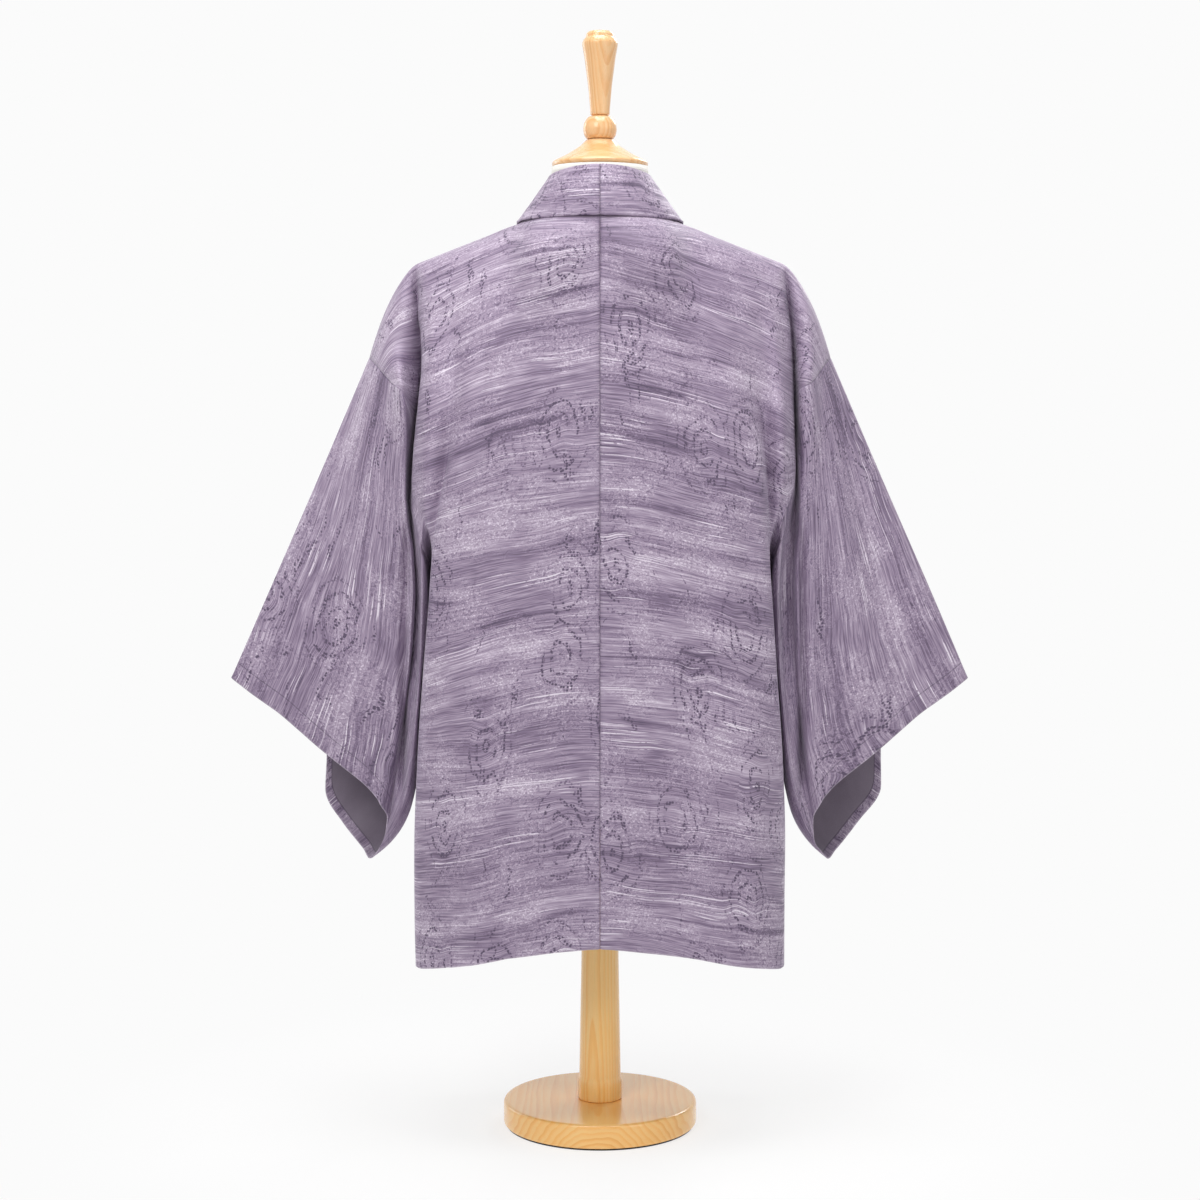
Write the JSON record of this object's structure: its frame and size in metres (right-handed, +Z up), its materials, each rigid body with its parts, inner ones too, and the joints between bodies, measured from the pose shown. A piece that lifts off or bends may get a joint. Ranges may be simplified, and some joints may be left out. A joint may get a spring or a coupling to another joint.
{
  "type": "haori jacket on dress form stand",
  "caption": "Open-fronted kimono jacket with wide open-cuffed sleeves and a folded collar band, hung on a limbless dress form with a turned wooden finial, column and round base.",
  "frame": {"origin": "centre of the base's underside, where it rests", "axes": "+Z up; the jacket's front faces -Y and its back +Y; the wearer's left side is +X"},
  "size_m": [0.77, 0.2494, 1.14],
  "materials": {
    "haori_cloth": "smooth silk, muted purple with brushed streaks and dotted whirls, soft satin sheen",
    "form_cover": "matte ivory cover, stretched smooth",
    "stand_wood": "pale straight-grained hardwood, satin varnish",
    "foot_felt": "dark felt pad"
  },
  "bodies": {
    "root": {"body_left": "haori_cloth", "body_right": "haori_cloth", "sleeve_left": "haori_cloth", "sleeve_right": "haori_cloth", "gusset_left": "haori_cloth", "gusset_right": "haori_cloth", "collar_left": "haori_cloth", "collar_right": "haori_cloth", "form_torso": "form_cover", "neck_cap": "stand_wood", "neck_ball": "stand_wood", "handle": "stand_wood", "column": "stand_wood", "base": "stand_wood", "base_felt": "foot_felt"}
  },
  "joints": []
}
